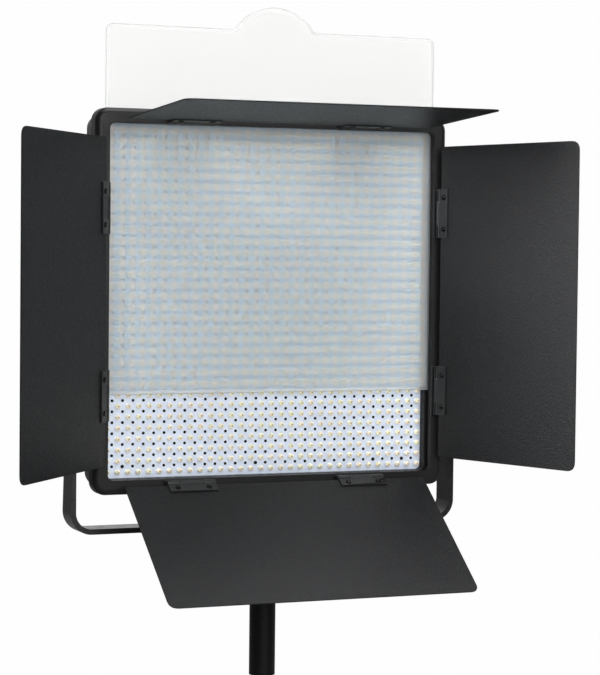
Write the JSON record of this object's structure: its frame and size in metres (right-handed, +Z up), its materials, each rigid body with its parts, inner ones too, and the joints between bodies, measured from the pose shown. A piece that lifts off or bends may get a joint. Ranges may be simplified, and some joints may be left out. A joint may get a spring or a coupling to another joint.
{
  "type": "led panel light",
  "caption": "Square LED studio panel with a dotted LED board, slide-in frosted diffuser, hinged barn doors and a U-shaped tilting yoke on a tubular stand adapter.",
  "frame": {"origin": "centre of the stand adapter's open lower end, where the light sits on a stand's stud", "axes": "+Z up along the adapter and the object's longest extent, -Y the way the light shines, +X along the tilt axis to the right of someone facing the lamp"},
  "size_m": [0.5074, 0.2398, 0.621],
  "materials": {
    "frame_black": "satin black moulded frame",
    "hinge_paint": "satin black painted steel",
    "housing_paint": "satin black paint",
    "door_paint": "fine-grained matt black paint",
    "yoke_paint": "satin black paint",
    "bright_steel": "zinc-plated steel",
    "black_rubber": "soft matt black",
    "black_plastic": "fine-textured black moulding",
    "board_white": "white solder mask",
    "driver_green": "green circuit board",
    "aluminium_sheet": "mill finish",
    "frosted_sheet": "frosted translucent acrylic",
    "display_glass": "clear gloss window over a dark display"
  },
  "bodies": {
    "yoke": {"yoke_bar": "yoke_paint", "stand_adapter": "yoke_paint", "adapter_bolt": "bright_steel"},
    "stand_clamp": {"stand_clamp_knob": "black_rubber"},
    "tilt_lock_right": {"tilt_knob_right": "black_rubber"},
    "tilt_lock_left": {"tilt_knob_left": "black_rubber"},
    "head": {"front_frame": "frame_black", "rear_housing": "housing_paint", "housing_screw_1": "bright_steel", "housing_screw_2": "bright_steel", "housing_screw_3": "bright_steel", "housing_screw_4": "bright_steel", "led_board": "board_white", "board_carrier": "aluminium_sheet", "driver_board": "driver_green", "pivot_boss_right": "black_plastic", "pivot_boss_left": "black_plastic", "control_panel": "black_plastic", "display_window": "display_glass", "dc_inlet": "black_plastic", "hinge_bracket_top_1": "hinge_paint", "hinge_pin_top_1": "bright_steel", "hinge_bracket_top_2": "hinge_paint", "hinge_pin_top_2": "bright_steel", "hinge_bracket_right_1": "hinge_paint", "hinge_pin_right_1": "bright_steel", "hinge_bracket_right_2": "hinge_paint", "hinge_pin_right_2": "bright_steel", "hinge_bracket_bottom_1": "hinge_paint", "hinge_pin_bottom_1": "bright_steel", "hinge_bracket_bottom_2": "hinge_paint", "hinge_pin_bottom_2": "bright_steel", "hinge_bracket_left_1": "hinge_paint", "hinge_pin_left_1": "bright_steel", "hinge_bracket_left_2": "hinge_paint", "hinge_pin_left_2": "bright_steel"},
    "diffuser": {"diffuser": "frosted_sheet"},
    "dial": {"brightness_dial": "black_rubber"},
    "power_rocker": {"power_switch": "black_plastic"},
    "top_door": {"door_top": "door_paint", "hinge_leaf_top_1": "hinge_paint", "hinge_leaf_top_2": "hinge_paint"},
    "right_door": {"door_right": "door_paint", "hinge_leaf_right_1": "hinge_paint", "hinge_leaf_right_2": "hinge_paint"},
    "bottom_door": {"door_bottom": "door_paint", "hinge_leaf_bottom_1": "hinge_paint", "hinge_leaf_bottom_2": "hinge_paint"},
    "left_door": {"door_left": "door_paint", "hinge_leaf_left_1": "hinge_paint", "hinge_leaf_left_2": "hinge_paint"},
    "power_button_cap": {"power_button": "black_rubber"},
    "mode_button_cap": {"mode_button": "black_rubber"},
    "down_button_cap": {"down_button": "black_rubber"},
    "up_button_cap": {"up_button": "black_rubber"}
  },
  "joints": [
    {"name": "tilt", "type": "hinge", "parent": "yoke", "child": "head", "pos_m": [0, 0, 0.35], "axis": [1, 0, 0], "range_deg": [-90, 12]},
    {"name": "top_door_hinge", "type": "hinge", "parent": "head", "child": "top_door", "pos_m": [0, -0.0332, 0.514], "axis": [1, 0, 0], "range_deg": [-86.7, 93.3]},
    {"name": "right_door_hinge", "type": "hinge", "parent": "head", "child": "right_door", "pos_m": [0.164, -0.0293, 0.35], "axis": [0, 0, -1], "range_deg": [-65.8, 114.2]},
    {"name": "bottom_door_hinge", "type": "hinge", "parent": "head", "child": "bottom_door", "pos_m": [0, -0.0332, 0.186], "axis": [-1, 0, 0], "range_deg": [-53.5, 126.5]},
    {"name": "left_door_hinge", "type": "hinge", "parent": "head", "child": "left_door", "pos_m": [-0.164, -0.0293, 0.35], "axis": [0, 0, 1], "range_deg": [-46.8, 133.2]},
    {"name": "diffuser_slide", "type": "slide", "parent": "head", "child": "diffuser", "axis": [0, 0, 1], "range_m": [-0.079, 0.27]},
    {"name": "right_tilt_knob_turn", "type": "hinge", "parent": "yoke", "child": "tilt_lock_right", "pos_m": [0.2, 0, 0.35], "axis": [1, 0, 0], "continuous": true},
    {"name": "left_tilt_knob_turn", "type": "hinge", "parent": "yoke", "child": "tilt_lock_left", "pos_m": [-0.2, 0, 0.35], "axis": [1, 0, 0], "continuous": true},
    {"name": "stand_clamp_turn", "type": "hinge", "parent": "yoke", "child": "stand_clamp", "pos_m": [0.02, 0, 0.104], "axis": [1, 0, 0], "continuous": true},
    {"name": "brightness_dial_turn", "type": "hinge", "parent": "head", "child": "dial", "pos_m": [0.068, 0.042, 0.236], "axis": [0, 1, 0], "range_deg": [-150, 150]},
    {"name": "power_switch_rock", "type": "hinge", "parent": "head", "child": "power_rocker", "pos_m": [-0.05, 0.0375, 0.236], "axis": [0, 0, 1], "range_deg": [-16, 0]},
    {"name": "power_button_press", "type": "slide", "parent": "head", "child": "power_button_cap", "axis": [0, -1, 0], "range_m": [0, 0.0008], "stiffness_N_per_m": 600, "springref_m": -0.001},
    {"name": "mode_button_press", "type": "slide", "parent": "head", "child": "mode_button_cap", "axis": [0, -1, 0], "range_m": [0, 0.0008], "stiffness_N_per_m": 600, "springref_m": -0.001},
    {"name": "down_button_press", "type": "slide", "parent": "head", "child": "down_button_cap", "axis": [0, -1, 0], "range_m": [0, 0.0008], "stiffness_N_per_m": 600, "springref_m": -0.001},
    {"name": "up_button_press", "type": "slide", "parent": "head", "child": "up_button_cap", "axis": [0, -1, 0], "range_m": [0, 0.0008], "stiffness_N_per_m": 600, "springref_m": -0.001}
  ]
}
